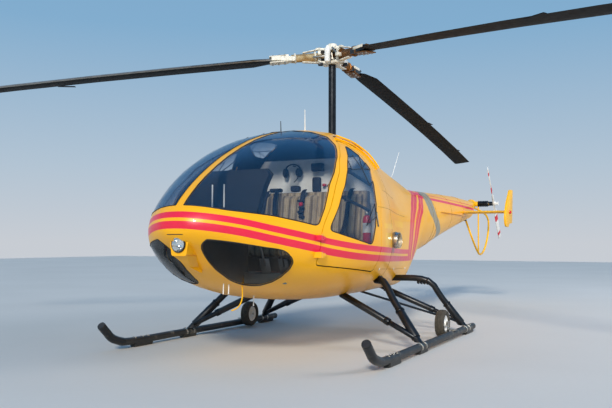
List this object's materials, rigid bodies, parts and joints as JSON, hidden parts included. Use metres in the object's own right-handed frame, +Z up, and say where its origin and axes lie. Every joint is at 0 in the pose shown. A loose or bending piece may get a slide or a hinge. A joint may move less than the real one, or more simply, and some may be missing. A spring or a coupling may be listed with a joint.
{
  "type": "light three-seat helicopter on skids",
  "caption": "Light helicopter with a rounded glazed cabin, side doors, a three-bladed rotor, a slim tail cone with a side rotor and guard loop, on tubular skids with small handling wheels.",
  "frame": {"origin": "on the ground under the middle of the whole aircraft, which stands on its two skids", "axes": "+X to the nose, +Y to the left (port) side, +Z up; the main rotor turns about +Z at x = 1.908 m"},
  "size_m": [9.1577, 8.5676, 2.95],
  "materials": {
    "body_paint": "glossy golden-yellow paint with red stripes",
    "window": "clear acrylic",
    "exhaust_metal": "heat-stained steel",
    "floor": "dark mat",
    "lining": "pale lining",
    "deck_metal": "plain sheet",
    "engine_block": "plain block",
    "seat_frame": "painted sheet",
    "seat_fabric": "channelled cloth",
    "console_plastic": "dull black",
    "black_paint": "worn satin black",
    "collar_paint": "satin white",
    "rotor_metal": "plated steel",
    "tail_blade_paint": "white with red bands",
    "mast_metal": "dark oiled steel",
    "blade_paint": "dull black with a bare leading edge",
    "skid_paint": "black, worn to grey",
    "wheel_rubber": "black rubber on a white hub",
    "bracket_metal": "plated",
    "lamp_lens": "clear lens over a reflector"
  },
  "bodies": {
    "airframe": {"cabin_body": "body_paint", "windshield_left": "window", "windshield_right": "window", "chin_window_left": "window", "chin_window_right": "window", "skylight_left": "window", "skylight_right": "window", "rear_body": "body_paint", "exhaust_left": "exhaust_metal", "exhaust_right": "exhaust_metal", "cabin_floor": "floor", "bulkhead": "lining", "engine_deck": "deck_metal", "engine": "engine_block", "main_gearbox": "engine_block", "seat_base": "seat_frame", "seat_cushion": "seat_fabric", "seat_back": "seat_fabric", "console": "console_plastic", "stick_left": "black_paint", "stick_right": "black_paint", "mast_collar": "collar_paint", "tail_cone": "body_paint", "stabilizer": "body_paint", "end_plate_left": "body_paint", "end_plate_right": "body_paint", "tail_gearbox": "body_paint", "tail_guard": "body_paint", "leg_front_left": "black_paint", "leg_front_right": "black_paint", "leg_aft_left": "black_paint", "leg_aft_right": "black_paint", "skid_left": "skid_paint", "skid_right": "skid_paint", "wheel_bracket_left": "bracket_metal", "wheel_bracket_right": "bracket_metal", "landing_light": "lamp_lens", "aerial_front": "black_paint", "aerial_mid": "collar_paint", "aerial_rear": "collar_paint", "drain_front": "collar_paint", "drain_side": "collar_paint", "drain_rear": "collar_paint", "vent_hose": "body_paint"},
    "left_door": {"door_left": "body_paint", "door_glass_left": "window"},
    "right_door": {"door_right": "body_paint", "door_glass_right": "window"},
    "tail_rotor": {"tail_hub": "rotor_metal", "tail_blades": "tail_blade_paint"},
    "main_rotor": {"mast": "mast_metal", "hub": "rotor_metal", "grip_left": "rotor_metal", "grip_right": "rotor_metal", "grip_aft": "rotor_metal", "blade_left": "blade_paint", "blade_right": "blade_paint", "blade_aft": "blade_paint"},
    "left_wheel": {"wheel_left": "wheel_rubber"},
    "right_wheel": {"wheel_right": "wheel_rubber"}
  },
  "joints": [
    {"name": "main_rotor_spin", "type": "hinge", "parent": "airframe", "child": "main_rotor", "pos_m": [1.908, 0, 2], "axis": [0, 0, 1], "continuous": true},
    {"name": "tail_rotor_spin", "type": "hinge", "parent": "airframe", "child": "tail_rotor", "pos_m": [-3.802, 0.38, 1.58], "axis": [0, 1, 0], "continuous": true},
    {"name": "left_door_hinge", "type": "hinge", "parent": "airframe", "child": "left_door", "pos_m": [3.7, 0.742, 0.9], "axis": [0, 0, -1], "range_deg": [0, 75]},
    {"name": "right_door_hinge", "type": "hinge", "parent": "airframe", "child": "right_door", "pos_m": [3.7, -0.742, 0.9], "axis": [0, 0, 1], "range_deg": [0, 75]},
    {"name": "left_wheel_spin", "type": "hinge", "parent": "airframe", "child": "left_wheel", "pos_m": [1.713, 1.076, 0.145], "axis": [0, 1, 0], "continuous": true},
    {"name": "right_wheel_spin", "type": "hinge", "parent": "airframe", "child": "right_wheel", "pos_m": [1.713, -1.076, 0.145], "axis": [0, 1, 0], "continuous": true}
  ],
  "couplings": [
    {"joint": "tail_rotor_spin", "follows": "main_rotor_spin", "ratio": -7}
  ]
}
